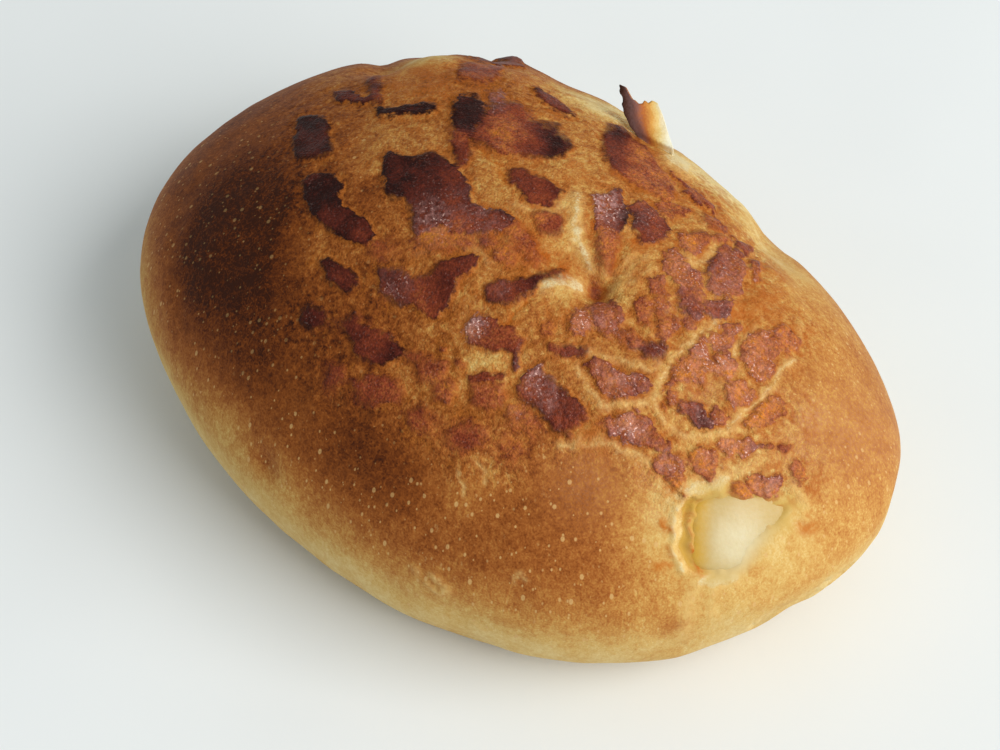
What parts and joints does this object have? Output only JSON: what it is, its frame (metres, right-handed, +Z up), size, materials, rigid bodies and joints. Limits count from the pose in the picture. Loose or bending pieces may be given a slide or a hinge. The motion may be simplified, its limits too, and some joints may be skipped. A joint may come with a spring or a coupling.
{
  "type": "rice bread roll",
  "caption": "Soft oval bread roll with a domed top under a crackled rice crust of raised plates, a standing flake of crust and a die of cheese showing through a burst.",
  "frame": {"origin": "under the middle of the roll's box, on the plane that it rests on", "axes": "+X along the roll's long way, towards its narrower end with the cheese, +Z up"},
  "size_m": [0.1202, 0.086, 0.0508],
  "materials": {
    "crust": "baked bread: golden soft dough under satin dark brown crust plates",
    "cheese": "warm cream cheese, soft satin"
  },
  "bodies": {
    "root": {"bread": "crust", "cheese": "cheese"}
  },
  "joints": []
}
